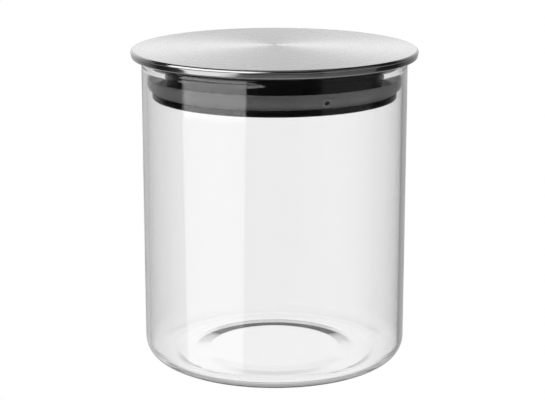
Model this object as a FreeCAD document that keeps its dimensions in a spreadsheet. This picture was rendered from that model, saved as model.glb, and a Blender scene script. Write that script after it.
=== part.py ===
import FreeCAD, Part
import math
import os
import Sketcher

# Lidded glass storage canister: a straight glass jar and a lid that pushes into its mouth.
# Frame: origin on the jar's axis at the height it stands on, +Z up along the axis, the front towards -Y.
# Lengths are in millimetres and angles in degrees.

SIZES = [
    # the glass jar
    ("jar_diameter", 100.0, "outside of the glass wall"),
    ("jar_height", 116.0, "standing surface to the top of the glass rim"),
    ("jar_wall", 2.0, "thickness of the glass wall"),
    ("base_thickness", 2.0, "thickness of the glass floor"),
    ("base_corner", 7.0, "outside radius where the wall turns into the base"),
    ("floor_corner", 5.0, "inside radius where the wall turns into the floor"),
    ("foot_width", 6.0, "width of the flat ring the jar stands on"),
    ("punt_rise", 0.9, "how far the middle of the base is raised over the foot"),
    ("punt_slope", 11.0, "width of the slope between the foot and the raised middle"),
    # the brushed steel cover with the disc it is rolled round
    ("cover_overhang", 4.0, "how far the cover reaches past the glass, all round"),
    ("cover_edge", 3.2, "height of the cover's rolled edge"),
    ("cover_top_round", 1.0, "rounding between the cover's top and its edge"),
    ("cover_low_round", 0.8, "rounding where the cover's edge turns under"),
    ("cover_dome", 1.0, "rise of the cover's middle over its rolled edge"),
    ("sheet_thickness", 0.5, "thickness of the cover's steel sheet"),
    ("hem_width", 6.0, "flat width of the sheet tucked under the disc"),
    ("rim_gap", 0.3, "between the glass rim and the cover above it"),
    ("disc_clearance", 0.05, "between the disc's round edge and the sheet"),
    # the plug: a neck under the disc, and a base with a flange that snaps into it
    ("plug_depth", 14.5, "how far the plug reaches below the glass rim"),
    ("neck_gap", 7.5, "between the neck's lower edge and the jar's mouth, all round"),
    ("neck_draft", 0.3, "how much wider the neck is at its top, on the radius"),
    ("neck_wall", 2.0, "thickness of the neck's wall and of its closed top"),
    ("neck_corner", 1.2, "radius of the neck's lower edge"),
    ("seat_depth", 2.0, "how far the seal's seat is cut in under the neck"),
    ("flange_gap", 1.9, "between the flange and the jar's mouth, all round"),
    ("flange_thickness", 2.4, "thickness of the flange below the seal"),
    ("flange_round", 0.9, "radius of the flange's lower edge"),
    ("flange_edge", 0.3, "radius of the flange's upper edge"),
    ("panel_margin", 8.4, "from the flange's rim to the recess underneath"),
    ("panel_recess", 0.5, "depth of the recess underneath"),
    ("spigot_wall", 2.0, "thickness of the ring that snaps into the neck"),
    ("snap_hook", 0.8, "how far the snap's hook reaches over the neck's ledge"),
    ("snap_height", 1.2, "height of the snap's hook"),
    ("snap_clearance", 0.1, "between the snap ring and the neck"),
    ("ledge_height", 2.0, "thickness of the ledge that the snap hooks over"),
    # the silicone lip seal
    ("lip_clearance", 0.05, "between the seal's lip and the glass"),
    ("seat_clearance", 0.05, "between the seal's web and its seat, round it and on each face"),
    ("seal_inset", 0.5, "how far the seal's foot stands in from the flange's rim"),
    ("seal_thickness", 1.1, "thickness of the lip"),
    ("seal_web", 1.2, "thickness of the flat web held between the neck and the flange"),
    ("lip_rise", 4.35, "height of the curved part of the lip's outer face"),
    ("lip_band", 0.8, "height of the straight band that touches the glass"),
    ("vent_diameter", 1.8, "air hole through the lip"),
    ("vent_height", 2.35, "from the seal's foot to the middle of the air hole"),
    ("vent_angle", 25.0, "air hole's place, counted from the front towards +X"),
]

doc = FreeCAD.newDocument("canister")
sheet = doc.addObject("Spreadsheet::Sheet", "sizes")
for row, (name, value, meaning) in enumerate(SIZES, start=1):
    sheet.set(f"A{row}", meaning)
    sheet.set(f"B{row}", str(value))
    sheet.setAlias(f"B{row}", name)
doc.recompute()


def size(expression):
    """What an expression over the sheet's sizes comes to now."""
    return float(sheet.evalExpression(expression))


# Radii and levels that several pieces share.
JAR_RADIUS = "sizes.jar_diameter / 2"
MOUTH_RADIUS = f"({JAR_RADIUS} - sizes.jar_wall)"
NECK_RADIUS = f"({MOUTH_RADIUS} - sizes.neck_gap)"
SEAT_RADIUS = f"({NECK_RADIUS} - sizes.seat_depth)"
FLANGE_RADIUS = f"({MOUTH_RADIUS} - sizes.flange_gap)"
COVER_UNDERSIDE = "(sizes.jar_height + sizes.rim_gap)"
DISC_UNDERSIDE = f"({COVER_UNDERSIDE} + sizes.sheet_thickness)"
FLANGE_UNDERSIDE = "(sizes.jar_height - sizes.plug_depth)"
FLANGE_TOP = f"({FLANGE_UNDERSIDE} + sizes.flange_thickness)"
SEAT_HEIGHT = "(sizes.seal_web + 2 * sizes.seat_clearance)"
LEFT = 1
RIGHT = -1


def bend(run, rise):
    """Radius of an arc that starts level or upright and covers the given run and rise."""
    return f"(({run}) ^ 2 + ({rise}) ^ 2) / (2 * abs({rise}))"


def own_plane(body, role):
    """One of the body's own origin planes."""
    return next(item for item in body.Origin.OriginFeatures if item.Role == role)


def arc_between(start, end, radius, side):
    """Arc from start to end whose centre lies to the left or right of the way from one to the other."""
    chord = end - start
    half = chord.Length / 2
    to_centre = FreeCAD.Vector(-chord.y, chord.x, 0).normalize() * side
    centre = start + chord / 2 + to_centre * math.sqrt(max(radius ** 2 - half ** 2, 0.0))
    first, last = (start, end) if side == LEFT else (end, start)
    angles = [math.atan2(point.y - centre.y, point.x - centre.x) for point in (first, last)]
    circle = Part.Circle(centre, FreeCAD.Vector(0, 0, 1), radius)
    return Part.ArcOfCircle(circle, angles[0], angles[1])


def bind(sketch, kind, place, expression):
    """Add a dimension to the sketch and bind it to an expression."""
    index = sketch.addConstraint(Sketcher.Constraint(kind, *place, size(expression)))
    sketch.setExpression(f"Constraints[{index}]", expression)


def draw_outline(sketch, outline):
    """Draw a closed outline, each corner held by bound distances from the sketch's origin.

    A corner is (across, up) with a straight side to the next corner,
    or (across, up, radius, side) with an arc to the next one.
    """
    corners = [FreeCAD.Vector(size(corner[0]), size(corner[1]), 0) for corner in outline]
    starts = []
    for index, corner in enumerate(outline):
        here, following = corners[index], corners[(index + 1) % len(corners)]
        if len(corner) == 2:
            sketch.addGeometry(Part.LineSegment(here, following), False)
            starts.append(1)
        else:
            sketch.addGeometry(arc_between(here, following, size(corner[2]), corner[3]), False)
            starts.append(1 if corner[3] == LEFT else 2)
    for index, corner in enumerate(outline):
        before = index - 1 if index else len(outline) - 1
        sketch.addConstraint(Sketcher.Constraint("Coincident", before, 3 - starts[before], index, starts[index]))
        for kind, axis, expression in (("DistanceX", -2, corner[0]), ("DistanceY", -1, corner[1])):
            if expression == "0":
                sketch.addConstraint(Sketcher.Constraint("PointOnObject", index, starts[index], axis))
            else:
                bind(sketch, kind, (-1, 1, index, starts[index]), expression)
        if len(corner) > 2:
            bind(sketch, "Radius", (index,), corner[2])


def turned_piece(label, level, outline):
    """A round piece: its outline, drawn from its own lowest level, is turned round the axis."""
    body = doc.addObject("PartDesign::Body", label)
    body.Label = label
    sketch = body.newObject("Sketcher::SketchObject", f"{label}_outline")
    sketch.AttachmentSupport = [(own_plane(body, "XZ_Plane"), "")]
    sketch.MapMode = "FlatFace"
    draw_outline(sketch, outline)
    turn = body.newObject("PartDesign::Revolution", f"{label}_turn")
    turn.Profile = sketch
    turn.ReferenceAxis = (sketch, ["V_Axis"])
    turn.Angle = 360
    if level != "0":
        body.setExpression("Placement.Base.z", level)
    return body


def glass_jar():
    """Clear glass jar with a round rim, a flat ring to stand on and a slightly raised middle."""
    foot_outside = f"({JAR_RADIUS} - sizes.base_corner)"
    foot_inside = f"({foot_outside} - sizes.foot_width)"
    slope_middle = f"({foot_inside} - sizes.punt_slope / 2)"
    slope_end = f"({foot_inside} - sizes.punt_slope)"
    slope_bend = bend("sizes.punt_slope / 2", "sizes.punt_rise / 2")
    rim_bend = "(sizes.jar_wall / 2)"
    rim_start = f"(sizes.jar_height - {rim_bend})"
    floor = "sizes.base_thickness"
    return turned_piece("glass_jar", "0", [
        ("0", "sizes.punt_rise"),
        (slope_end, "sizes.punt_rise", slope_bend, RIGHT),
        (slope_middle, "sizes.punt_rise / 2", slope_bend, LEFT),
        (foot_inside, "0"),
        (foot_outside, "0", "sizes.base_corner", LEFT),
        (JAR_RADIUS, "sizes.base_corner"),
        (JAR_RADIUS, rim_start, rim_bend, LEFT),
        (f"{MOUTH_RADIUS} + {rim_bend}", "sizes.jar_height", rim_bend, LEFT),
        (MOUTH_RADIUS, rim_start),
        (MOUTH_RADIUS, f"{floor} + sizes.floor_corner", "sizes.floor_corner", RIGHT),
        (f"{MOUTH_RADIUS} - sizes.floor_corner", floor),
        (foot_inside, floor, slope_bend, RIGHT),
        (slope_middle, f"{floor} + sizes.punt_rise / 2", slope_bend, LEFT),
        (slope_end, f"{floor} + sizes.punt_rise"),
        ("0", f"{floor} + sizes.punt_rise"),
    ])


def lid_cover():
    """Brushed steel cover: one thin domed sheet, rolled round at its edge and tucked under."""
    radius = f"({JAR_RADIUS} + sizes.cover_overhang)"
    top_start = f"({radius} - sizes.cover_top_round)"
    low_end = f"({radius} - sizes.cover_low_round)"
    hem_end = f"({low_end} - sizes.hem_width)"
    inner_radius = f"({radius} - sizes.sheet_thickness)"
    dome = bend(top_start, "sizes.cover_dome")
    return turned_piece("lid_cover", COVER_UNDERSIDE, [
        ("0", "sizes.cover_edge + sizes.cover_dome", dome, RIGHT),
        (top_start, "sizes.cover_edge", "sizes.cover_top_round", RIGHT),
        (radius, "sizes.cover_edge - sizes.cover_top_round"),
        (radius, "sizes.cover_low_round", "sizes.cover_low_round", RIGHT),
        (low_end, "0"),
        (hem_end, "0"),
        (hem_end, "sizes.sheet_thickness"),
        (low_end, "sizes.sheet_thickness", "(sizes.cover_low_round - sizes.sheet_thickness)", LEFT),
        (inner_radius, "sizes.cover_low_round"),
        (inner_radius, "sizes.cover_edge - sizes.cover_top_round", "(sizes.cover_top_round - sizes.sheet_thickness)", LEFT),
        (top_start, "sizes.cover_edge - sizes.sheet_thickness", dome, LEFT),
        ("0", "sizes.cover_edge + sizes.cover_dome - sizes.sheet_thickness"),
    ])


def backing_disc():
    """Flat plastic disc that fills the cover, stiffens its sheet and carries the plug."""
    edge_bend = "(sizes.cover_edge / 2 - sizes.sheet_thickness - sizes.disc_clearance)"
    edge_start = f"({JAR_RADIUS} + sizes.cover_overhang - sizes.cover_edge / 2)"
    return turned_piece("backing_disc", DISC_UNDERSIDE, [
        ("0", "0"),
        (edge_start, "0", edge_bend, LEFT),
        (f"{edge_start} + {edge_bend}", edge_bend, edge_bend, LEFT),
        (edge_start, f"2 * {edge_bend}"),
        ("0", f"2 * {edge_bend}"),
    ])


def plug_neck():
    """Black moulded neck, closed at the top, with a narrower seat for the seal round its lower end."""
    height = f"({DISC_UNDERSIDE} - {FLANGE_TOP})"
    bore = f"({SEAT_RADIUS} - sizes.neck_wall)"
    hollow = f"({NECK_RADIUS} - sizes.neck_wall)"
    ledge = f"({SEAT_HEIGHT} + sizes.ledge_height)"
    return turned_piece("plug_neck", FLANGE_TOP, [
        (bore, "0"),
        (SEAT_RADIUS, "0"),
        (SEAT_RADIUS, SEAT_HEIGHT),
        (f"{NECK_RADIUS} - sizes.neck_corner", SEAT_HEIGHT, "sizes.neck_corner", LEFT),
        (NECK_RADIUS, f"{SEAT_HEIGHT} + sizes.neck_corner"),
        (f"{NECK_RADIUS} + sizes.neck_draft", height),
        ("0", height),
        ("0", f"{height} - sizes.neck_wall"),
        (hollow, f"{height} - sizes.neck_wall"),
        (hollow, ledge),
        (bore, ledge),
    ])


def plug_base():
    """Black moulded base: the flange that holds the seal up, and a ring that snaps into the neck."""
    top = "sizes.flange_thickness"
    ring = f"({SEAT_RADIUS} - sizes.neck_wall - sizes.snap_clearance)"
    ring_inside = f"({ring} - sizes.spigot_wall)"
    hook_start = f"({top} + {SEAT_HEIGHT} + sizes.ledge_height + sizes.snap_clearance / 2)"
    hook_end = f"({hook_start} + sizes.snap_height)"
    panel = f"({FLANGE_RADIUS} - sizes.panel_margin)"
    return turned_piece("plug_base", FLANGE_UNDERSIDE, [
        ("0", "sizes.panel_recess"),
        (f"{panel} - sizes.panel_recess", "sizes.panel_recess"),
        (panel, "0"),
        (f"{FLANGE_RADIUS} - sizes.flange_round", "0", "sizes.flange_round", LEFT),
        (FLANGE_RADIUS, "sizes.flange_round"),
        (FLANGE_RADIUS, f"{top} - sizes.flange_edge", "sizes.flange_edge", LEFT),
        (f"{FLANGE_RADIUS} - sizes.flange_edge", top),
        (ring, top),
        (ring, hook_start),
        (f"{ring} + sizes.snap_hook", hook_start),
        (ring, hook_end),
        (ring_inside, hook_end),
        (ring_inside, top),
        ("0", top),
    ])


def lip_seal():
    """Silicone seal: a flat web held in the plug's seat, and a lip that flares up and out to the glass."""
    lip = f"({MOUTH_RADIUS} - sizes.lip_clearance)"
    lip_inside = f"({lip} - sizes.seal_thickness)"
    foot = f"({FLANGE_RADIUS} - sizes.seal_inset)"
    flare = f"({lip} - {foot})"
    bore = f"({SEAT_RADIUS} + sizes.seat_clearance)"
    band_top = "(sizes.lip_rise + sizes.lip_band)"
    inner_rise = "(sizes.lip_rise - sizes.seal_web)"
    lip_edge = "sizes.seal_thickness / 2"
    body = turned_piece("lip_seal", f"{FLANGE_TOP} + sizes.seat_clearance", [
        (bore, "0"),
        (foot, "0", bend("sizes.lip_rise", flare), LEFT),
        (lip, "sizes.lip_rise"),
        (lip, band_top, lip_edge, LEFT),
        (f"{lip} - {lip_edge}", f"{band_top} + {lip_edge}", lip_edge, LEFT),
        (lip_inside, band_top),
        (lip_inside, "sizes.lip_rise", bend(inner_rise, flare), RIGHT),
        (f"{foot} - sizes.seal_thickness", "sizes.seal_web"),
        (bore, "sizes.seal_web"),
    ])
    doc.recompute()
    whole = body.Shape.Volume

    # The air hole is cut straight out of the trough through the lip, before the seal is turned to its place.
    sketch = body.newObject("Sketcher::SketchObject", "lip_seal_vent_circle")
    sketch.AttachmentSupport = [(own_plane(body, "XZ_Plane"), "")]
    sketch.MapMode = "FlatFace"
    start = f"({foot} - sizes.seal_thickness - sizes.vent_diameter / 2)"
    sketch.setExpression("AttachmentOffset.Base.z", start)
    centre = FreeCAD.Vector(0, size("sizes.vent_height"), 0)
    sketch.addGeometry(Part.Circle(centre, FreeCAD.Vector(0, 0, 1), size("sizes.vent_diameter") / 2), False)
    sketch.addConstraint(Sketcher.Constraint("PointOnObject", 0, 3, -2))
    bind(sketch, "DistanceY", (-1, 1, 0, 3), "sizes.vent_height")
    bind(sketch, "Diameter", (0,), "sizes.vent_diameter")
    vent = body.newObject("PartDesign::Pocket", "lip_seal_vent")
    vent.Profile = sketch
    vent.Reversed = True
    vent.setExpression("Length", f"{lip} - {start} + sizes.seal_thickness")
    body.Tip = vent
    body.setExpression("Placement.Rotation.Angle", "sizes.vent_angle")
    doc.recompute()
    if body.Shape.Volume > whole - 0.5:
        raise RuntimeError("the air hole did not cut the lip")
    return body


def check(pieces):
    """Stop if any object failed to build, or a piece isn't one closed valid solid."""
    for item in doc.Objects:
        if {"Invalid", "Error"} & set(item.State):
            raise RuntimeError(f"{item.Label} did not build: {item.State}")
    for piece in pieces:
        shape = piece.Shape
        if shape.isNull() or not shape.isValid() or len(shape.Solids) != 1:
            raise RuntimeError(f"{piece.Label} is not one valid solid")


pieces = [glass_jar(), lid_cover(), backing_disc(), plug_neck(), plug_base(), lip_seal()]
doc.recompute()
check(pieces)
os.makedirs("parts", exist_ok=True)
for piece in pieces:
    piece.Shape.exportStep(f"parts/{piece.Label}.step")
    box = piece.Shape.optimalBoundingBox(False)
    print(f"{piece.Label:13} {piece.Shape.Volume / 1000:8.2f} cm3   z {box.ZMin:7.2f} to {box.ZMax:7.2f}"
          f"   across {box.XLength:7.2f}")
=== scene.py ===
# %% [markdown]
# # A glass storage jar with a brushed steel lid
# This lesson dresses a finished CAD model of a kitchen canister: a straight clear jar, and a lid whose
# plug pushes into the mouth and seals there with a grey silicone lip. The CAD model gives every size and
# every joint. Here each piece is turned again as a finer mesh, then gets a material, and last comes the
# light, which is what makes glass and steel look like glass and steel.

# %% Load the fixed frame
import math

import bpy
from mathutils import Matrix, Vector


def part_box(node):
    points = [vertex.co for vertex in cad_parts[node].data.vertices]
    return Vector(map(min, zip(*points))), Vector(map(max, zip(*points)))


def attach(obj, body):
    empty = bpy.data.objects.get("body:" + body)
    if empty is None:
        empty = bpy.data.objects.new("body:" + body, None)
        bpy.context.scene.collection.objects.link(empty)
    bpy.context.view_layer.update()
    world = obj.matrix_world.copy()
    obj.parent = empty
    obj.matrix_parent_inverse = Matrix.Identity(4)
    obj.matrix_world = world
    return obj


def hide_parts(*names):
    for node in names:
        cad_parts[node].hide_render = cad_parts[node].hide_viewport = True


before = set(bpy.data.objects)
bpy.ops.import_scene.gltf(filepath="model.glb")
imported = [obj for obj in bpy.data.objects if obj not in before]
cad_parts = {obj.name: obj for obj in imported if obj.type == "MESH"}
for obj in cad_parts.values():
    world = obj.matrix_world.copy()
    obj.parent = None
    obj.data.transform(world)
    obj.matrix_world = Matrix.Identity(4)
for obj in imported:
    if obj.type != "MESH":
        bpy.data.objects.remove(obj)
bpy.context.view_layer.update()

# %% [markdown]
# ## Sizes
# Blender works in metres, and the pieces are small, so a value named MM keeps the numbers readable.
# Whatever the frame can tell is read from it: heights and radii come from each node's box. What lies
# inside a piece, such as the thickness of a wall, can't be read from a box and is named here once.

# %% Sizes read from the frame, and the few that a box can't tell
MM = 0.001

jar_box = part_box("glass_jar")
cover_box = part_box("lid_cover")
neck_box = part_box("plug_neck")
base_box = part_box("plug_base")
seal_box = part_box("lip_seal")

JAR_TOP = jar_box[1].z
JAR_RADIUS = jar_box[1].x
WALL = 2.0 * MM
MOUTH_RADIUS = JAR_RADIUS - WALL
print(f"glass {JAR_RADIUS / MM:.2f} mm in radius, mouth {MOUTH_RADIUS / MM:.2f} mm")

# %% [markdown]
# ## Turning on a lathe
# Every piece of this object is round, so every piece can start as half of its cross-section, spun once
# round the upright axis. A Screw modifier does that too, but placing the rings of points directly gives
# the finished mesh at once, and says exactly where every ring lies.
#
# A section is written as its corners. The first helper rounds them with true arcs, since no real edge is
# perfectly sharp. The second puts a point close to each end of every long straight stretch: smooth shading
# blends the directions of neighbouring faces, and these tight rings keep the blend at the corner, so that
# flat glass stays optically flat. The third spins the section. A section that closes on the axis is walked
# outwards along its underside and back over its top, which makes all faces look outwards.

# %% Round the corners of a section
ARC_STEP = math.radians(7.5)


def rounded(corners, closed):
    """Points of an outline of (radius, height, rounding) corners; each rounding becomes an arc."""
    points = []
    for index, (across, up, rounding) in enumerate(corners):
        here = Vector((across, up))
        at_end = not closed and index in (0, len(corners) - 1)
        if rounding == 0 or at_end:
            points.append(here)
            continue
        before = Vector(corners[index - 1][:2]) - here
        after = Vector(corners[(index + 1) % len(corners)][:2]) - here
        opening = before.angle(after)
        reach = rounding / math.tan(opening / 2)
        start = here + before.normalized() * reach
        end = here + after.normalized() * reach
        halfway = (before.normalized() + after.normalized()).normalized()
        centre = here + halfway * rounding / math.sin(opening / 2)
        steps = max(2, math.ceil((math.pi - opening) / ARC_STEP))
        for step in range(steps + 1):
            way = (start - centre).slerp(end - centre, step / steps).normalized() * rounding
            points.append(centre + way)
    return points


print("an arc gets a point every", round(math.degrees(ARC_STEP), 1), "degrees")

# %% Guard the straight stretches
RING_GUARD = 0.15 * MM


def guarded(points, closed):
    """The outline with an extra point near both ends of each long straight stretch."""
    result = []
    count = len(points) if closed else len(points) - 1
    for index in range(count):
        here, following = points[index], points[(index + 1) % len(points)]
        result.append(here)
        way = following - here
        if way.length > 4 * RING_GUARD:
            result.append(here + way.normalized() * RING_GUARD)
            result.append(following - way.normalized() * RING_GUARD)
    if not closed:
        result.append(points[-1])
    return result


print("a guard ring lies", round(RING_GUARD / MM, 2), "mm from each corner")

# %% Spin a section into a mesh
AROUND = 256
ON_AXIS = 0.001 * MM


def turn(name, points, closed):
    """Spin an outline of points round the upright axis into a smooth closed mesh."""
    corners, rings, faces = [], [], []
    for point in points:
        on_axis = point.x < ON_AXIS
        angles = [0.0] if on_axis else [math.tau * step / AROUND for step in range(AROUND)]
        rings.append([len(corners) + step for step in range(len(angles))] * (AROUND if on_axis else 1))
        corners += [(point.x * math.cos(angle), point.x * math.sin(angle), point.y) for angle in angles]
    pairs = list(zip(rings, rings[1:])) + ([(rings[-1], rings[0])] if closed else [])
    for first, second in pairs:
        for step in range(AROUND):
            after = (step + 1) % AROUND
            face = (first[step], first[after], second[after], second[step])
            faces.append(tuple(dict.fromkeys(face)))
    mesh = bpy.data.meshes.new(name)
    mesh.from_pydata(corners, [], faces)
    mesh.shade_smooth()
    piece = bpy.data.objects.new(name, mesh)
    bpy.context.scene.collection.objects.link(piece)
    print(f"{name}: {len(mesh.polygons)} faces")
    return piece


def turned(name, corners, closed):
    """A lathe piece from the corners of its outline."""
    return turn(name, guarded(rounded(corners, closed), closed), closed)


# %% [markdown]
# ## Helpers for materials
# A node material is a small factory: texture nodes make patterns, and the Principled shader turns them
# into a surface. A few short helpers add nodes and start a material, so that each finish below reads as
# a recipe. Patterns use object coordinates, which are the real metres of the model, so a grain has the same
# fine size on every piece.

# %% Helpers that add nodes
def add(tree, kind, settings=None, **inputs):
    """Add a node, set its properties, and feed its inputs from numbers or from other nodes' outputs."""
    node = tree.nodes.new(kind)
    for name, value in (settings or {}).items():
        setattr(node, name, value)
    for name, value in inputs.items():
        socket = node.inputs[int(name[2:])] if name.startswith("in") else node.inputs[name.replace("_", " ")]
        if isinstance(value, bpy.types.NodeSocket):
            tree.links.new(value, socket)
        else:
            socket.default_value = value
    return node


def work_out(tree, operation, first, second=0.0):
    """One step of arithmetic."""
    return add(tree, "ShaderNodeMath", {"operation": operation}, in0=first, in1=second).outputs[0]


def spread(tree, value, low, high, start=0.0, end=1.0):
    """Stretch a value that runs from start to end so that it runs from low to high."""
    return add(tree, "ShaderNodeMapRange", Value=value, From_Min=start, From_Max=end, To_Min=low,
               To_Max=high).outputs["Result"]


def blend(tree, share, first, second):
    """The first value where the share is 0, and the second where it is 1."""
    return add(tree, "ShaderNodeMix", {"data_type": "FLOAT"}, Factor=share, in2=first, in3=second).outputs[0]


def noise(tree, place, scale, detail):
    """Cloudy noise, its scale in clouds per metre."""
    return add(tree, "ShaderNodeTexNoise", Vector=place, Scale=scale, Detail=detail).outputs["Fac"]


print("nodes can be added, worked out, spread and blended")

# %% Helpers that start and finish a material
def start_material(name):
    """A new material: returns it with its tree, its shader and the piece's coordinates."""
    material = bpy.data.materials.new(name)
    material.use_nodes = True
    tree = material.node_tree
    shader = tree.nodes["Principled BSDF"]
    place = tree.nodes.new("ShaderNodeTexCoord").outputs["Object"]
    return material, tree, shader, place


def paint(tree, shader, socket, pattern):
    """Feed a pattern to one of the shader's inputs."""
    tree.links.new(pattern, shader.inputs[socket])


def fix(shader, **numbers):
    """Set numbers that are the same all over the surface, on the shader's own sockets."""
    for name, value in numbers.items():
        shader.inputs[name.replace("_", " ")].default_value = value


def bump(tree, shader, height, strength, distance):
    """Feed a height pattern to the shader as fine relief."""
    node = add(tree, "ShaderNodeBump", Strength=strength, Distance=distance, Height=height)
    paint(tree, shader, "Normal", node.outputs["Normal"])


def grey(value):
    """A neutral colour."""
    return (value, value, value, 1)


print("a middle grey is", grey(0.5))

# %% [markdown]
# ## Clear glass
# Real glass has no colour of its own to paint. What shows is how it bends what lies behind it and what
# it mirrors, so the material is almost nothing: full transmission and the refractive index of
# borosilicate, 1.47. A tube-drawn jar isn't optically perfect, and a very low, wide noise bends its
# surface by a few hundredths of a millimetre so that lines seen through it waver slightly.

# %% Mix the glass
def clear_glass():
    """Full transmission, with a slow waver in the surface."""
    material, tree, shader, place = start_material("clear_glass")
    fix(shader, Base_Color=grey(0.985), Roughness=0.0, IOR=1.47, Transmission_Weight=1.0)
    bump(tree, shader, noise(tree, place, 45.0, 1.0), 0.03, 0.001)
    return material


GLASS = clear_glass()
glass_shader = GLASS.node_tree.nodes["Principled BSDF"]
print("the glass has a refractive index of", round(glass_shader.inputs["IOR"].default_value, 2))

# %% [markdown]
# ## Spun steel and polished steel
# The cover's top was brushed while it turned, so its scratches are circles. Light spreads across
# such scratches and not along them, which is what anisotropic shading does once it is told which way they
# run: a radial tangent follows the circles. A noise that is stretched round the axis adds the scratches
# that are wide enough to see. The finest scratches send some light every way, like a matt surface, so the
# top is only three quarters metallic. The edge was polished after it was rolled, and mirrors the room
# sharply.

# %% Draw noise out into scratches
def scratches(tree, place, rings, turns):
    """Noise drawn out into arcs round the axis: fine across the radius, slow along the circle."""
    parts = add(tree, "ShaderNodeSeparateXYZ", Vector=place)
    flat = add(tree, "ShaderNodeCombineXYZ", X=parts.outputs["X"], Y=parts.outputs["Y"])
    radius = add(tree, "ShaderNodeVectorMath", {"operation": "LENGTH"}, in0=flat.outputs[0])
    around = add(tree, "ShaderNodeVectorMath", {"operation": "NORMALIZE"}, in0=flat.outputs[0])
    slow = add(tree, "ShaderNodeVectorMath", {"operation": "SCALE"}, in0=around.outputs[0], Scale=turns)
    lift = add(tree, "ShaderNodeCombineXYZ", Z=work_out(tree, "MULTIPLY", radius.outputs["Value"], rings))
    where = add(tree, "ShaderNodeVectorMath", in0=slow.outputs[0], in1=lift.outputs[0])
    return noise(tree, where.outputs[0], 1.0, 3.0)


SCRATCH_LOW = 0.3
SCRATCH_HIGH = 0.7
print("scratch noise mostly lies between", SCRATCH_LOW, "and", SCRATCH_HIGH)

# %% Mix the two steels
FINE_RINGS = 1300.0
WIDE_RINGS = 260.0
HAZE_RINGS = 3000.0
QUARTER_TURN = 0.25


def spun_steel():
    """Steel brushed in circles."""
    material, tree, shader, place = start_material("spun_steel")
    fine = scratches(tree, place, FINE_RINGS, 1.2)
    both = blend(tree, 0.4, fine, scratches(tree, place, WIDE_RINGS, 1.5))
    paint(tree, shader, "Base Color", spread(tree, both, 0.6, 0.72, SCRATCH_LOW, SCRATCH_HIGH))
    paint(tree, shader, "Roughness", spread(tree, both, 0.25, 0.3, SCRATCH_LOW, SCRATCH_HIGH))
    fix(shader, Metallic=0.75, Anisotropic=0.78, Anisotropic_Rotation=QUARTER_TURN)
    along = add(tree, "ShaderNodeTangent", {"direction_type": "RADIAL", "axis": "Z"})
    paint(tree, shader, "Tangent", along.outputs["Tangent"])
    bump(tree, shader, fine, 0.1, 0.00006)
    return material


def polished_steel():
    """Steel buffed bright, with a faint haze of the old scratches."""
    material, tree, shader, place = start_material("polished_steel")
    haze = scratches(tree, place, HAZE_RINGS, 3.0)
    paint(tree, shader, "Roughness", spread(tree, haze, 0.07, 0.15, SCRATCH_LOW, SCRATCH_HIGH))
    paint(tree, shader, "Base Color", spread(tree, haze, 0.37, 0.42, SCRATCH_LOW, SCRATCH_HIGH))
    fix(shader, Metallic=1.0)
    return material


SPUN_STEEL = spun_steel()
POLISHED_STEEL = polished_steel()
print("fine scratches are", round(1 / FINE_RINGS / MM, 2), "mm apart, wide ones", round(1 / WIDE_RINGS / MM, 1))

# %% [markdown]
# ## Moulded plastic and silicone
# The plug is black plastic, fairly glossy, with the faint unevenness of a moulding. The seal is silicone:
# soft, grey and see-through like frosted glass. Where white paper lies behind it, it looks light, and
# where the black plug does, dark, so most of its colour has to come through it. Rough transmission gives
# that, with an index of 1.41, and the rest is a plain pale surface.

# %% Mix the plastic and the silicone
def moulded_plastic(name, tone, roughness):
    """Plastic with a slow change of tone and gloss, and the fine grain of a mould."""
    material, tree, shader, place = start_material(name)
    cloud = noise(tree, place, 140.0, 3.0)
    paint(tree, shader, "Base Color", spread(tree, cloud, tone * 0.8, tone * 1.2))
    paint(tree, shader, "Roughness", spread(tree, cloud, roughness * 0.85, roughness * 1.15))
    bump(tree, shader, noise(tree, place, 2500.0, 2.0), 0.05, 0.0001)
    fix(shader, Specular_IOR_Level=0.15)
    return material


def silicone():
    """Frosted, rubbery and see-through."""
    material, tree, shader, place = start_material("grey_silicone")
    paint(tree, shader, "Base Color", spread(tree, noise(tree, place, 90.0, 4.0), 0.78, 0.88))
    fix(shader, Roughness=0.42, Transmission_Weight=0.82, IOR=1.41)
    bump(tree, shader, noise(tree, place, 1800.0, 2.0), 0.06, 0.0001)
    return material


PLUG_PLASTIC = moulded_plastic("black_plastic", 0.008, 0.22)
DISC_PLASTIC = moulded_plastic("disc_plastic", 0.02, 0.45)
SILICONE = silicone()
print("materials:", ", ".join(sorted(item.name for item in (PLUG_PLASTIC, DISC_PLASTIC, SILICONE))))

# %% [markdown]
# ## The jar
# The jar starts as a glass tube. Its base is closed and pressed while it is soft, which leaves a rounded
# corner, a ring that it stands on, and a middle that is a little raised, with a gentle slope between them.
# The slope matters more than its height of under a millimetre suggests: it works as a lens, and shapes the
# dark arcs that show in the base. The rim is melted round with a flame, and swells inwards into a slight
# bead. The outline is walked up the outside and down the inside.

# %% Turn the jar
BASE_CORNER = 7.8 * MM
FLOOR_CORNER = 5.4 * MM
FLOOR = 2.0 * MM
RISE_UNDER = 0.86 * MM
RISE_UNDER_START = 36.3 * MM
RISE_UNDER_END = 25.0 * MM
RISE_INSIDE = 2.72 * MM
RISE_INSIDE_START = 38.8 * MM
RISE_INSIDE_END = 31.7 * MM
UNDER_LOW_BEND = 3.2 * MM
UNDER_HIGH_BEND = 6.6 * MM
INSIDE_LOW_BEND = 7.6 * MM
INSIDE_HIGH_BEND = 9.8 * MM
RIM_BEAD = 0.4 * MM
BEAD_LOW = 3.6 * MM
BEAD_FULL = 2.0 * MM
BEAD_BEND = 2.0 * MM
# Two arcs that would share one end stop just short of it, so that no two points coincide.
NEARLY = 0.999

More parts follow.
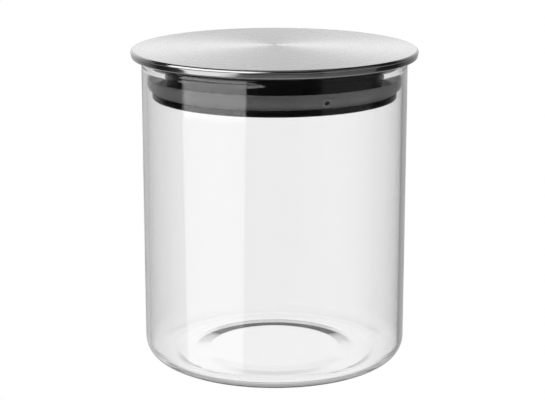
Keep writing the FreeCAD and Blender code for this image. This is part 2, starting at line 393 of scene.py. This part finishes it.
rim_bend = (WALL + RIM_BEAD) / 2 * NEARLY
jar = turned("jar_glass", [
    (0, RISE_UNDER, 0),
    (RISE_UNDER_END, RISE_UNDER, UNDER_HIGH_BEND),
    (RISE_UNDER_START, 0, UNDER_LOW_BEND),
    (JAR_RADIUS, 0, BASE_CORNER),
    (JAR_RADIUS, JAR_TOP, rim_bend),
    (MOUTH_RADIUS - RIM_BEAD, JAR_TOP, rim_bend),
    (MOUTH_RADIUS - RIM_BEAD, JAR_TOP - BEAD_FULL, BEAD_BEND),
    (MOUTH_RADIUS, JAR_TOP - BEAD_LOW, BEAD_BEND),
    (MOUTH_RADIUS, FLOOR, FLOOR_CORNER),
    (RISE_INSIDE_START, FLOOR, INSIDE_LOW_BEND),
    (RISE_INSIDE_END, RISE_INSIDE, INSIDE_HIGH_BEND),
    (0, RISE_INSIDE, 0),
], closed=False)
jar.data.materials.append(GLASS)
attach(jar, "jar")
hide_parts("glass_jar")

# %% [markdown]
# ## The cover
# One thin sheet of steel, slightly domed, with its edge rolled down and tucked under. The edge isn't
# a plain half circle: it turns over quickly at the top, then leans in slowly, and turns under at the
# bottom, and each part mirrors another strip of the room. The dome is a shallow curve of many rings. The
# top and the edge have different finishes, so the faces are sorted by how far up they look.

# %% Draw the cover's section
COVER_RADIUS = cover_box[1].x
COVER_LOW = cover_box[0].z
COVER_TOP = cover_box[1].z
COVER_EDGE = 3.2 * MM
COVER_DOME = 1.0 * MM
EDGE_TOP_ROUND = 1.0 * MM
EDGE_SHOULDER = 0.5 * MM
EDGE_TOP_BEND = 8.0 * MM
EDGE_WAIST = 2.0 * MM
EDGE_WAIST_BEND = 3.0 * MM
EDGE_LEAN = 0.4 * MM
EDGE_LOW_ROUND = 0.7 * MM
SHEET = 0.5 * MM
HEM_END = 47.2 * MM
HEM_ROUND = 0.1 * MM
DOME_RINGS = 24

edge_start = COVER_RADIUS - EDGE_TOP_ROUND
edge_top = COVER_LOW + COVER_EDGE
low_radius = COVER_RADIUS - EDGE_LEAN


def dome_point(ring):
    """A point of the cover's top, counted in rings from the middle."""
    across = edge_start * ring / DOME_RINGS
    return Vector((across, COVER_TOP - COVER_DOME * (across / edge_start) ** 2))


top_side = [dome_point(ring) for ring in range(DOME_RINGS)]
under_side = [point - Vector((0, SHEET)) for point in reversed(top_side)]
around_edge = rounded([
    (top_side[-1].x, top_side[-1].y, 0),
    (edge_start - EDGE_SHOULDER, edge_top, EDGE_TOP_BEND),
    (COVER_RADIUS, edge_top, EDGE_TOP_ROUND * NEARLY),
    (COVER_RADIUS, COVER_LOW + EDGE_WAIST, EDGE_WAIST_BEND),
    (low_radius, COVER_LOW, EDGE_LOW_ROUND),
    (HEM_END, COVER_LOW, HEM_ROUND),
    (HEM_END, COVER_LOW + SHEET, HEM_ROUND),
    (low_radius - SHEET, COVER_LOW + SHEET, EDGE_LOW_ROUND - SHEET),
    (COVER_RADIUS - SHEET, COVER_LOW + EDGE_WAIST, EDGE_WAIST_BEND - SHEET),
    (COVER_RADIUS - SHEET, edge_top - SHEET, (EDGE_TOP_ROUND - SHEET) * NEARLY),
    (under_side[0].x, under_side[0].y, 0),
], closed=False)
section = top_side[:-1] + around_edge + under_side[1:]
section.reverse()
print("the cover's section has", len(section), "points")

# %% Turn the cover and sort its two finishes
LOOKS_UP = 0.97

cover = turn("cover_steel", guarded(section, False), False)
cover.data.materials.append(SPUN_STEEL)
cover.data.materials.append(POLISHED_STEEL)
for face in cover.data.polygons:
    face.material_index = 0 if face.normal.z > LOOKS_UP else 1
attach(cover, "lid")
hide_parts("lid_cover")
print("polished faces:", sum(face.material_index for face in cover.data.polygons))

# %% [markdown]
# ## The plug
# Two black mouldings: a neck, closed at its top, with a seat cut in under it for the seal, and a base whose
# flange holds the seal up and whose ring snaps inside the neck. A mould lets go of its piece only if
# upright walls lean a little, so the neck is slightly wider at its top.

# %% Turn the neck
NECK_WALL = 2.0 * MM
NECK_CORNER = 1.2 * MM
NECK_DRAFT = 0.3 * MM
NECK_HOLLOW = 0.5 * MM
SEAT_DEPTH = 2.0 * MM
SEAT_HEIGHT = 1.3 * MM
LEDGE = 2.0 * MM
EDGE = 0.15 * MM

neck_top = neck_box[1].z
neck_low = neck_box[0].z
neck_radius = neck_box[1].x - NECK_DRAFT
seat_radius = neck_radius - SEAT_DEPTH
bore = seat_radius - NECK_WALL
neck = turned("neck_plastic", [
    (bore, neck_low, EDGE),
    (seat_radius, neck_low, EDGE),
    (seat_radius, neck_low + SEAT_HEIGHT, EDGE),
    (neck_radius, neck_low + SEAT_HEIGHT, NECK_CORNER),
    (neck_radius + NECK_DRAFT, neck_top, EDGE),
    (0, neck_top, 0),
    (0, neck_top - NECK_WALL, 0),
    (neck_radius - NECK_WALL, neck_top - NECK_WALL, NECK_HOLLOW),
    (neck_radius - NECK_WALL, neck_low + SEAT_HEIGHT + LEDGE, EDGE),
    (bore, neck_low + SEAT_HEIGHT + LEDGE, EDGE),
], closed=True)
neck.data.materials.append(PLUG_PLASTIC)
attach(neck, "lid")
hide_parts("plug_neck")

# %% Turn the base
FLANGE = 2.4 * MM
FLANGE_ROUND = 0.9 * MM
BASE_EDGE = 0.3 * MM
PANEL_MARGIN = 8.4 * MM
PANEL_RECESS = 0.5 * MM
SNAP_CLEARANCE = 0.1 * MM
SNAP_HOOK = 0.8 * MM
SNAP_HEIGHT = 1.2 * MM
SNAP_EDGE = 0.1 * MM

base_low = base_box[0].z
base_top = base_box[1].z
flange_radius = base_box[1].x
flange_top = base_low + FLANGE
panel = flange_radius - PANEL_MARGIN
ring_outside = bore - SNAP_CLEARANCE
ring_inside = ring_outside - NECK_WALL
base = turned("base_plastic", [
    (0, base_low + PANEL_RECESS, 0),
    (panel - PANEL_RECESS, base_low + PANEL_RECESS, BASE_EDGE),
    (panel, base_low, BASE_EDGE),
    (flange_radius, base_low, FLANGE_ROUND),
    (flange_radius, flange_top, BASE_EDGE),
    (ring_outside, flange_top, 0),
    (ring_outside, base_top - SNAP_HEIGHT, 0),
    (ring_outside + SNAP_HOOK, base_top - SNAP_HEIGHT, SNAP_EDGE),
    (ring_outside, base_top, SNAP_EDGE),
    (ring_inside, base_top, EDGE),
    (ring_inside, flange_top, BASE_EDGE),
    (0, flange_top, 0),
], closed=False)
base.data.materials.append(PLUG_PLASTIC)
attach(base, "lid")
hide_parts("plug_base")

# %% [markdown]
# ## The seal
# A soft ring: a flat web that sits in the plug's seat, and a lip that curves up and out until it
# touches the glass. The lip's curve is an arc that is upright at its top and leans in towards its foot,
# and the vent further down needs the same arc, so it is worked out on its own.

# %% Turn the seal
SEAL_WEB = 1.2 * MM
LIP = 1.1 * MM
LIP_RISE = 4.35 * MM
LIP_STEPS = 24
SEAT_GAP = 0.05 * MM
FOOT_INSET = 0.5 * MM

seal_low = seal_box[0].z
seal_top = seal_box[1].z
lip_radius = MOUTH_RADIUS - SEAT_GAP
seal_foot = flange_radius - FOOT_INSET


def lip_bend(run, rise):
    """Radius of an arc that starts upright and covers the given run and rise."""
    return (run ** 2 + rise ** 2) / (2 * run)


def lip_face(outer_radius, foot_radius, low, high):
    """One face of the lip, from its foot to its top."""
    bend = lip_bend(outer_radius - foot_radius, high - low)
    lean = math.asin((high - low) / bend)
    centre = Vector((outer_radius - bend, high))
    angles = [lean * (1 - step / LIP_STEPS) for step in range(LIP_STEPS + 1)]
    return [centre + bend * Vector((math.cos(angle), -math.sin(angle))) for angle in angles]


outer_face = lip_face(lip_radius, seal_foot, seal_low, seal_low + LIP_RISE)
inner_face = lip_face(lip_radius - LIP, seal_foot - LIP, seal_low + SEAL_WEB, seal_low + LIP_RISE)
lip_edge = rounded([
    (lip_radius, seal_low + LIP_RISE, 0),
    (lip_radius, seal_top, LIP / 2 * NEARLY),
    (lip_radius - LIP, seal_top, LIP / 2 * NEARLY),
    (lip_radius - LIP, seal_low + LIP_RISE, 0),
], closed=False)
web = [Vector((seat_radius + SEAT_GAP, seal_low + SEAL_WEB)), Vector((seat_radius + SEAT_GAP, seal_low))]
seal = turn("seal_silicone", guarded(outer_face[:-1] + lip_edge + inner_face[-2::-1] + web, True), True)
seal.data.materials.append(SILICONE)
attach(seal, "seal")
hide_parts("lip_seal")

# %% [markdown]
# ## The vent
# A lid like this would hold itself down by suction, and trap air on its way in, so the lip has a small
# vent: a punched hole with a raised ring. A disc of black plastic sits inside the hole as painted shade: it
# stands in for the shade deep in the hole. The ring and the dark disc are turned on their own axis, then
# tipped until they stand square on the lip. A Boolean modifier cuts the hole, and its result becomes the
# seal's own mesh, so that nothing is left to work out later.

# %% Turn the vent's ring, its dark disc of painted shade and the punch
VENT_HEIGHT = 2.35 * MM
VENT_TURN = 22.6
VENT_RADIUS = 1.0 * MM
VENT_RING = 1.9 * MM
VENT_PROUD = 0.18 * MM
VENT_SUNK = 0.3 * MM
VENT_EDGE = 0.15 * MM
# Sizes of the dark disc in the hole: painted shade, black plastic standing in for the shade inside the hole.
SHADE_DISC_LOW = 0.9 * MM
SHADE_DISC_RIM = 0.35 * MM
SHADE_DISC_CROWN = 0.25 * MM
SHADE_DISC_EDGE = 0.2 * MM
PUNCH_IN = 2.0 * MM
PUNCH_OUT = 1.0 * MM

vent_ring = turned("seal_vent_ring", [
    (VENT_RADIUS, -VENT_SUNK, 0),
    (VENT_RING, -VENT_SUNK, 0),
    (VENT_RING, VENT_PROUD, VENT_EDGE),
    (VENT_RADIUS, VENT_PROUD, VENT_EDGE),
], closed=True)
# The dark disc that makes the hole look deep is painted shade.
vent_shade_disc = turned("seal_vent_shade_disc", [
    (0, -SHADE_DISC_LOW, 0),
    (VENT_RADIUS, -SHADE_DISC_LOW, 0),
    (VENT_RADIUS, -SHADE_DISC_RIM, SHADE_DISC_EDGE),
    (0, -SHADE_DISC_CROWN, 0),
], closed=False)
punch = turned("vent_punch", [
    (0, -PUNCH_IN, 0),
    (VENT_RADIUS, -PUNCH_IN, 0),
    (VENT_RADIUS, PUNCH_OUT, 0),
    (0, PUNCH_OUT, 0),
], closed=False)

# %% Stand them on the lip, punch the hole and finish the pieces
vent_side = math.radians(VENT_TURN)
outer_bend = lip_bend(lip_radius - seal_foot, LIP_RISE)
vent_lean = math.asin((LIP_RISE - VENT_HEIGHT) / outer_bend)
vent_across = lip_radius - outer_bend * (1 - math.cos(vent_lean))
vent_x = vent_across * math.sin(vent_side)
vent_y = -vent_across * math.cos(vent_side)
for item in (vent_ring, vent_shade_disc, punch):
    item.rotation_euler = (math.radians(90) + vent_lean, 0, vent_side)
    item.location = (vent_x, vent_y, seal_low + VENT_HEIGHT)

hole = seal.modifiers.new("vent", "BOOLEAN")
hole.object = punch
bpy.context.view_layer.update()
seal.data = bpy.data.meshes.new_from_object(seal.evaluated_get(bpy.context.evaluated_depsgraph_get()))
seal.modifiers.clear()
bpy.data.objects.remove(punch)

# The ring is silicone; the disc gets black plastic, which paints the shade inside the hole.
vent_parts = ((vent_ring, SILICONE, "grey_silicone"), (vent_shade_disc, PLUG_PLASTIC, "black_plastic"))
for item, finish, slot in vent_parts:
    item.data.materials.append(finish)
    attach(item, "seal")
print("the vent is", round(2 * VENT_RADIUS / MM, 1), "mm wide;", len(seal.data.polygons), "faces in the seal")

# %% [markdown]
# ## The disc inside the cover
# A plastic disc stiffens the cover's thin sheet. Only its underside could ever be seen, and its CAD mesh is
# right as it is, so it stays and only its material changes.

# %% Give the disc its plastic
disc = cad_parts["backing_disc"]
disc.data.materials.clear()
disc.data.materials.append(DISC_PLASTIC)
print("the disc has", len(disc.data.polygons), "faces")

# %% [markdown]
# ## The studio
# Glass and polished steel show only what surrounds them, so the surroundings are built first of all for
# the reflections. The world is a small studio painted by direction: a leaning softbox to the left, a weak
# panel to the right, a bright backdrop behind, a dimmer floor, a faint light overhead, and darkness in
# front, where a photographer stands. The Light Path node tells what kind of ray is asking. What is seen
# directly or through the glass is plain white, like a lit sweep of paper, and light that a matt surface
# scatters finds some extra light on all sides, so that no side of the object goes black.
#
# Directions are told as two angles. Azimuth is 0 towards the front and grows to the right, and elevation
# is 0 at the horizon and grows upwards.

# %% Find the direction of each ray
world = bpy.data.worlds.new("studio")
bpy.context.scene.world = world
world.use_nodes = True
sky = world.node_tree
path = add(sky, "ShaderNodeLightPath")
looking = add(sky, "ShaderNodeTexCoord").outputs["Generated"]
direction = add(sky, "ShaderNodeSeparateXYZ", Vector=looking)
toward_front = work_out(sky, "MULTIPLY", direction.outputs["Y"], -1.0)
azimuth = work_out(sky, "ARCTAN2", direction.outputs["X"], toward_front)
elevation = work_out(sky, "ARCSINE", direction.outputs["Z"])
print("the studio starts with", len(sky.nodes), "nodes")

# %% Helpers that shape light by angle
def times(first, second):
    """Multiply two values of the studio."""
    return work_out(sky, "MULTIPLY", first, second)


def plus(first, second):
    """Add two values of the studio."""
    return work_out(sky, "ADD", first, second)


def minus(first, second):
    """Take one value of the studio from another."""
    return work_out(sky, "SUBTRACT", first, second)


def step_up(angle, at, soft):
    """0 below an angle and 1 above it, with a soft edge; all in degrees."""
    return add(sky, "ShaderNodeMapRange", {"interpolation_type": "SMOOTHSTEP"}, Value=angle,
               From_Min=math.radians(at - soft), From_Max=math.radians(at + soft)).outputs["Result"]


def window(angle, low, high, soft):
    """1 between two angles and 0 outside them."""
    return minus(step_up(angle, low, soft), step_up(angle, high, soft))


def ramp(angle, start, end):
    """0 at one angle and 1 at another, straight between them."""
    return spread(sky, angle, 0.0, 1.0, math.radians(start), math.radians(end))


def deeper(faces):
    """1 for light that has passed at least so many faces of glass, and 0 for the rest."""
    return work_out(sky, "GREATER_THAN", path.outputs["Transmission Depth"], faces - 0.5)


print("a ray through one wall of the jar passes 2 faces of glass")

# %% [markdown]
# ## The softbox
# The softbox is a flat panel that leans over the object, so its edges have to be straight. A ray meets
# a flat panel where its sideways and upward parts, divided by its depth, say: that is the same division
# that makes a perspective drawing. The panel is brighter towards its top.
#
# One liberty is taken that no real lamp allows: the panel's strength depends on how many faces of glass
# the light has passed. Off the outer face it shows almost as it is. Off the inner face it shows stronger
# above a certain angle and nearly vanishes below it, which lights what is near the lid but leaves a single
# stripe down the jar. After three faces or more it is dim, so that the far wall doesn't repeat it.

# %% Build the softbox
SOFTBOX_TURN = -55.0
SOFTBOX_RAISE = 30.0
SOFTBOX_HALF_WIDTH = 0.777
SOFTBOX_LOW = -1.9
SOFTBOX_HIGH = 0.5
SIDE_FADE = 0.03
END_FADE = 0.1
DIM_UP_TO = -0.9
FULL_FROM = -0.18
DIM = 1.9
FULL = 2.6
SPLIT_AT = -11.0
SPLIT_SOFT = 0.15
INNER_FACE = 1
FAR_WALL = 3
INNER_GAIN = 0.45
FAR_LOSS = 1.33
OUTER_BELOW = 0.95
INNER_LOSS = 0.83
GRAZING = 0.05


def softbox():
    """Brightness of the leaning panel in every direction."""
    side, lift = math.radians(SOFTBOX_TURN), math.radians(SOFTBOX_RAISE)
    ahead = Vector((math.sin(side) * math.cos(lift), -math.cos(side) * math.cos(lift), math.sin(lift)))
    right = Vector((math.cos(side), math.sin(side), 0))

    def part(along):
        return add(sky, "ShaderNodeVectorMath", {"operation": "DOT_PRODUCT"}, in0=looking,
                   in1=along).outputs["Value"]

    depth = part(ahead)
    across = work_out(sky, "DIVIDE", part(right), depth)
    height = work_out(sky, "DIVIDE", part(ahead.cross(right)), depth)
    in_front = work_out(sky, "GREATER_THAN", depth, GRAZING)
    wide = times(
        spread(sky, across, 0, 1, -SOFTBOX_HALF_WIDTH - SIDE_FADE, -SOFTBOX_HALF_WIDTH + SIDE_FADE),
        spread(sky, across, 0, 1, SOFTBOX_HALF_WIDTH + SIDE_FADE, SOFTBOX_HALF_WIDTH - SIDE_FADE))
    tall = times(
        spread(sky, height, 0, 1, SOFTBOX_LOW - END_FADE, SOFTBOX_LOW + END_FADE),
        spread(sky, height, 0, 1, SOFTBOX_HIGH + END_FADE, SOFTBOX_HIGH - END_FADE))
    above = plus(plus(1.0, times(deeper(INNER_FACE), INNER_GAIN)), times(deeper(FAR_WALL), -FAR_LOSS))
    below = plus(OUTER_BELOW, times(deeper(INNER_FACE), -INNER_LOSS))
    level = blend(sky, step_up(elevation, SPLIT_AT, SPLIT_SOFT), below, above)
    brightness = times(spread(sky, height, DIM, FULL, DIM_UP_TO, FULL_FROM), level)
    return times(times(times(wide, tall), in_front), brightness)


SOFTBOX = softbox()
print("the softbox spans", round(2 * math.degrees(math.atan(SOFTBOX_HALF_WIDTH))), "degrees")

# %% Add the backdrop, the floor and the smaller lights
BACKDROP = 1.0
FAR_FLOOR = 0.55
NEAR_FLOOR = 0.45
OVERHEAD = 0.2
ROOM = 0.02
RIGHT_PANEL = 0.14
SCATTERED = 0.6
RIGHT_OF_BACK = (118, 172)
LEFT_OF_BACK = (-110, -150)
HORIZON = -3
BACKDROP_TOP = 30
FLOOR_FOOT = -35
BACK_SOFT = 3.0
NEAR_FLOOR_TOP = -33
NEAR_FLOOR_SOFT = 10.0
OVERHEAD_FROM = 64
OVERHEAD_SOFT = 5.0
PANEL_LEFT = 41
PANEL_RIGHT = 92
PANEL_BOTTOM = -30
PANEL_TOP = 45
PANEL_SIDE_SOFT = 1.5
PANEL_END_SOFT = 5.0

behind = plus(ramp(azimuth, *RIGHT_OF_BACK), ramp(azimuth, *LEFT_OF_BACK))
backdrop = times(times(behind, window(elevation, HORIZON, BACKDROP_TOP, BACK_SOFT)), BACKDROP)
far_floor = times(times(behind, window(elevation, FLOOR_FOOT, HORIZON, BACK_SOFT)), FAR_FLOOR)
near_floor = times(minus(1.0, step_up(elevation, NEAR_FLOOR_TOP, NEAR_FLOOR_SOFT)), NEAR_FLOOR)
overhead = times(step_up(elevation, OVERHEAD_FROM, OVERHEAD_SOFT), OVERHEAD)
panel_sides = window(azimuth, PANEL_LEFT, PANEL_RIGHT, PANEL_SIDE_SOFT)
panel_ends = window(elevation, PANEL_BOTTOM, PANEL_TOP, PANEL_END_SOFT)
right_panel = times(times(panel_sides, panel_ends), RIGHT_PANEL)

studio = plus(plus(backdrop, far_floor), plus(plus(near_floor, overhead), ROOM))
studio = plus(plus(studio, SOFTBOX), right_panel)
scattered = work_out(sky, "GREATER_THAN", path.outputs["Diffuse Depth"], 0.5)
studio = plus(studio, times(scattered, SCATTERED))
print("the studio has", len(sky.nodes), "nodes")

# %% Show white paper to the eye, and the studio to every reflection
bounces = plus(path.outputs["Glossy Depth"], path.outputs["Diffuse Depth"])
is_bounced = work_out(sky, "GREATER_THAN", bounces, 0.5)
seen = blend(sky, is_bounced, 1.0, studio)
sky.links.new(seen, sky.nodes["Background"].inputs["Color"])
print("light that hasn't bounced sees plain white")

# %% [markdown]
# ## The floor
# The object stands on the same white paper. The floor glows as brightly as the world does to the eye, so
# that no line shows where the two meet, and it lets bounced light through to the studio
# that is painted on the world, which has its own floor for the reflections.

# %% Lay the floor
FLOOR_HALF = 3.0
FLOOR_DROP = 0.2 * MM

floor_mesh = bpy.data.meshes.new("floor")
floor_corners = [(-FLOOR_HALF, -FLOOR_HALF, 0), (FLOOR_HALF, -FLOOR_HALF, 0), (FLOOR_HALF, FLOOR_HALF, 0),
                 (-FLOOR_HALF, FLOOR_HALF, 0)]
floor_mesh.from_pydata(floor_corners, [], [(0, 1, 2, 3)])
floor = bpy.data.objects.new("floor", floor_mesh)
floor.location.z = -FLOOR_DROP
bpy.context.scene.collection.objects.link(floor)

paper = bpy.data.materials.new("white_paper")
paper.use_nodes = True
paper_tree = paper.node_tree
paper_tree.nodes.clear()
glow = add(paper_tree, "ShaderNodeEmission", Color=grey(1.0), Strength=1.0)
clear = add(paper_tree, "ShaderNodeBsdfTransparent")
paper_path = add(paper_tree, "ShaderNodeLightPath")
glossy = paper_path.outputs["Glossy Depth"]
diffuse = paper_path.outputs["Diffuse Depth"]
paper_bounces = work_out(paper_tree, "ADD", glossy, diffuse)
paper_mix = add(paper_tree, "ShaderNodeMixShader", in0=paper_bounces, in1=glow.outputs[0], in2=clear.outputs[0])
paper_out = paper_tree.nodes.new("ShaderNodeOutputMaterial")
paper_tree.links.new(paper_mix.outputs[0], paper_out.inputs["Surface"])
floor_mesh.materials.append(paper)
print("the floor is", 2 * FLOOR_HALF, "m across")

# %% [markdown]
# ## The camera
# A long lens from a little above, as for a catalogue: it keeps the jar's sides nearly upright. The Standard
# view transform keeps pure white white.

# %% Place the camera
CAMERA_DISTANCE = 631.0 * MM
CAMERA_HEIGHT = 214.9 * MM
CAMERA_SIDE = -0.76 * MM
CAMERA_PITCH = 13.75
LENS = 111.8
SENSOR = 36.0
NEAREST = 0.01

eye = bpy.data.cameras.new("camera")
eye.sensor_width = SENSOR
eye.lens = LENS
eye.clip_start = NEAREST
camera = bpy.data.objects.new("camera", eye)
camera.location = (CAMERA_SIDE, -CAMERA_DISTANCE, CAMERA_HEIGHT)
camera.rotation_euler = (math.radians(90 - CAMERA_PITCH), 0, 0)
bpy.context.scene.collection.objects.link(camera)
bpy.context.scene.camera = camera
bpy.context.scene.view_settings.view_transform = "Standard"
print("the camera stands", round(CAMERA_DISTANCE, 2), "m away and looks down", CAMERA_PITCH, "degrees")
